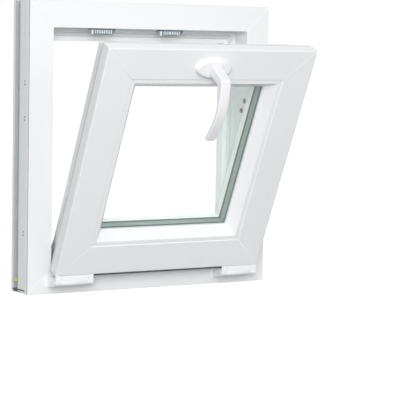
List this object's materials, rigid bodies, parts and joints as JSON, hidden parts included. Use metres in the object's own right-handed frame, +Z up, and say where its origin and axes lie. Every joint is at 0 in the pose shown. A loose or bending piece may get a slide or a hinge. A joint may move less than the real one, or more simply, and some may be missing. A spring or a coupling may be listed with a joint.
{
  "type": "tilt window",
  "caption": "Small bottom-hung tilt window: white PVC frame, double-glazed sash tilted into the room, lever handle on the top rail, side stays and locking keeps.",
  "frame": {"origin": "middle of the flat land on the underside of the sill", "axes": "+X to the right seen from the room, +Y from the room to the open air, +Z up"},
  "size_m": [0.5, 0.3194, 0.52],
  "materials": {
    "white_pvc": "satin",
    "grey_seal": "matte",
    "float_glass": "polished",
    "spacer_aluminium": "satin",
    "zinc_casting": "satin",
    "zinc_steel": "satin",
    "white_hinge": "gloss",
    "white_handle": "satin"
  },
  "bodies": {
    "frame": {"frame_head": "white_pvc", "frame_sill": "white_pvc", "frame_left_jamb": "white_pvc", "frame_right_jamb": "white_pvc", "frame_gasket": "grey_seal", "left_keep": "zinc_casting", "right_keep": "zinc_casting", "left_hinge_bracket": "white_hinge", "right_hinge_bracket": "white_hinge", "left_hinge_pin": "zinc_steel", "right_hinge_pin": "zinc_steel", "left_stay_bracket": "zinc_steel", "right_stay_bracket": "zinc_steel"},
    "sash": {"sash_top_rail": "white_pvc", "sash_bottom_rail": "white_pvc", "sash_left_stile": "white_pvc", "sash_right_stile": "white_pvc", "top_glazing_bead": "white_pvc", "bottom_glazing_bead": "white_pvc", "left_glazing_bead": "white_pvc", "right_glazing_bead": "white_pvc", "inner_glazing_gasket": "grey_seal", "outer_glazing_gasket": "grey_seal", "sash_gasket": "grey_seal", "inner_pane": "float_glass", "outer_pane": "float_glass", "spacer_frame": "spacer_aluminium", "left_hinge_leaf": "white_hinge", "right_hinge_leaf": "white_hinge", "lock_rail": "zinc_steel", "left_locking_cam": "zinc_steel", "right_locking_cam": "zinc_steel", "left_stay_track": "zinc_steel", "right_stay_track": "zinc_steel", "handle_rose": "white_handle"},
    "handle": {"handle_lever": "white_handle", "handle_spindle": "zinc_steel"},
    "left_stay": {"left_stay_arm": "zinc_steel"},
    "right_stay": {"right_stay_arm": "zinc_steel"}
  },
  "joints": [
    {"name": "sash_tilt", "type": "hinge", "parent": "frame", "child": "sash", "pos_m": [0, -0.061, 0.0235], "axis": [1, 0, 0], "range_deg": [-24.4, 0]},
    {"name": "handle_turn", "type": "hinge", "parent": "sash", "child": "handle", "pos_m": [0, -0.2391, 0.40885], "axis": [0, -0.9107, -0.4131], "range_deg": [0, 90]},
    {"name": "left_stay_swing", "type": "hinge", "parent": "frame", "child": "left_stay", "pos_m": [-0.2, -0.019, 0.0625], "axis": [1, 0, 0], "range_deg": [-32.3, 0]},
    {"name": "right_stay_swing", "type": "hinge", "parent": "frame", "child": "right_stay", "pos_m": [0.2, -0.019, 0.0625], "axis": [1, 0, 0], "range_deg": [-32.3, 0]}
  ],
  "couplings": [
    {"joint": "left_stay_swing", "follows": "sash_tilt", "ratio": 1.3235},
    {"joint": "right_stay_swing", "follows": "sash_tilt", "ratio": 1.3235}
  ]
}
